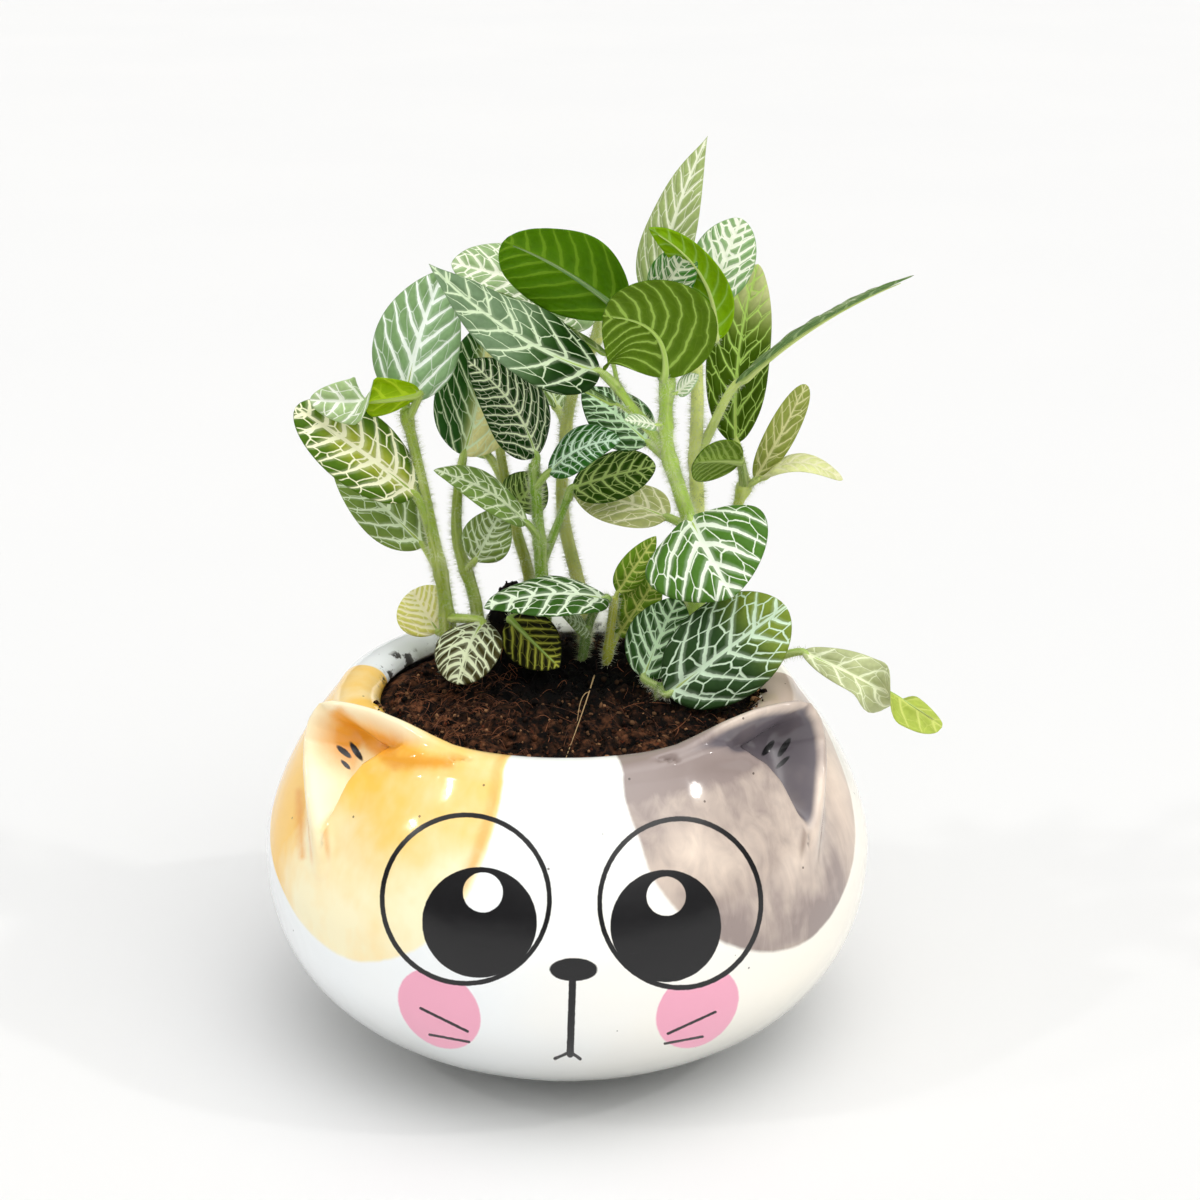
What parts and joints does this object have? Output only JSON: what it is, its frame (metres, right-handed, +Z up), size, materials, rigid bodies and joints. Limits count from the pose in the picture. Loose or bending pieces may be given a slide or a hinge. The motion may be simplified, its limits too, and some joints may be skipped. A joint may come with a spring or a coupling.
{
  "type": "potted nerve plant",
  "caption": "White-veined leafy house plant with hairy green stems, growing from brown soil in a squat round glazed pot shaped and painted as a cat's face.",
  "frame": {"origin": "centre of the flat base of the pot", "axes": "+Z up, the painted face looks along -Y, +X to the right of someone looking at the face"},
  "size_m": [0.1323, 0.12, 0.1763],
  "materials": {
    "glaze": "glossy white glaze with an apricot patch, a mauve-grey patch and black and pink line work",
    "peat": "matte damp dark brown peat and coir with loose fibres",
    "leaf_light": "satin mid green leaf with a pale vein net and hairy pale green stems",
    "leaf_dark": "satin dark green leaf with a white vein net and hairy pale green stems"
  },
  "bodies": {
    "root": {"pot": "glaze", "soil": "peat", "left_shoot": "leaf_light", "left_inner_shoot": "leaf_dark", "rear_left_shoot": "leaf_dark", "centre_left_shoot": "leaf_dark", "rear_centre_shoot": "leaf_light", "main_shoot": "leaf_light", "upper_right_shoot": "leaf_light", "right_shoot": "leaf_dark", "front_right_sprig": "leaf_dark", "young_sprig": "leaf_light", "centre_sprig": "leaf_dark", "trailing_sprig": "leaf_light"}
  },
  "joints": []
}
